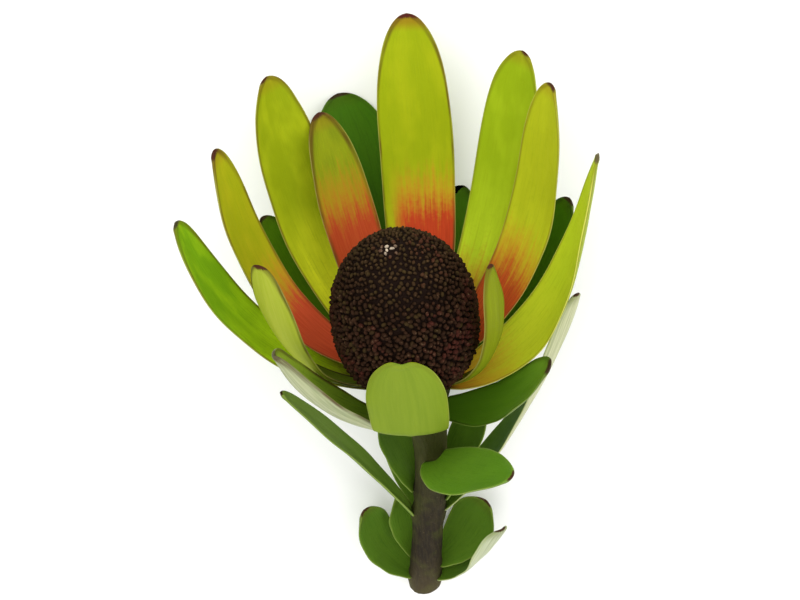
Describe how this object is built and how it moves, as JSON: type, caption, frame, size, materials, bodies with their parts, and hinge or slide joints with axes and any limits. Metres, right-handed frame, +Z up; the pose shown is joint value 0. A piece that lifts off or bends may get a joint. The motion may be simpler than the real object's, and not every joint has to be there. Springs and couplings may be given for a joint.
{
  "type": "conebush flower head",
  "caption": "Cut conebush flower head lying on its back, with coloured bracts cupped round a dark cone of florets and green leaves up a short woody stem.",
  "frame": {"origin": "centre of the bounding box's base, on the surface that the cut stem lies on", "axes": "+Z up, +Y from the stem's cut end towards the tips of the bracts, +X to the right as seen from above with the stem towards the viewer"},
  "size_m": [0.0898, 0.1522, 0.0696],
  "materials": {
    "stem": "matt dark brown bark",
    "cone": "matt, near-black brown florets with a red tint",
    "bract": "satin, yellow-green with a red foot and a dark tip",
    "outer_bract": "satin, deep green inside and pale outside",
    "leaf": "satin, deep green with a pale rim"
  },
  "bodies": {
    "root": {"stem": "stem", "cone": "cone", "bract_1": "bract", "bract_2": "bract", "bract_3": "bract", "bract_4": "bract", "bract_5": "bract", "bract_6": "bract", "bract_7": "bract", "bract_8": "bract", "bract_9": "bract", "bract_10": "bract", "bract_11": "bract", "outer_1": "outer_bract", "outer_2": "outer_bract", "outer_3": "outer_bract", "outer_4": "outer_bract", "outer_5": "outer_bract", "outer_6": "outer_bract", "leaf_1": "leaf", "leaf_2": "leaf", "leaf_3": "leaf", "leaf_4": "leaf", "leaf_5": "leaf", "leaf_6": "leaf", "leaf_7": "leaf", "leaf_8": "leaf", "leaf_9": "leaf", "leaf_10": "leaf", "leaf_11": "leaf"}
  },
  "joints": []
}
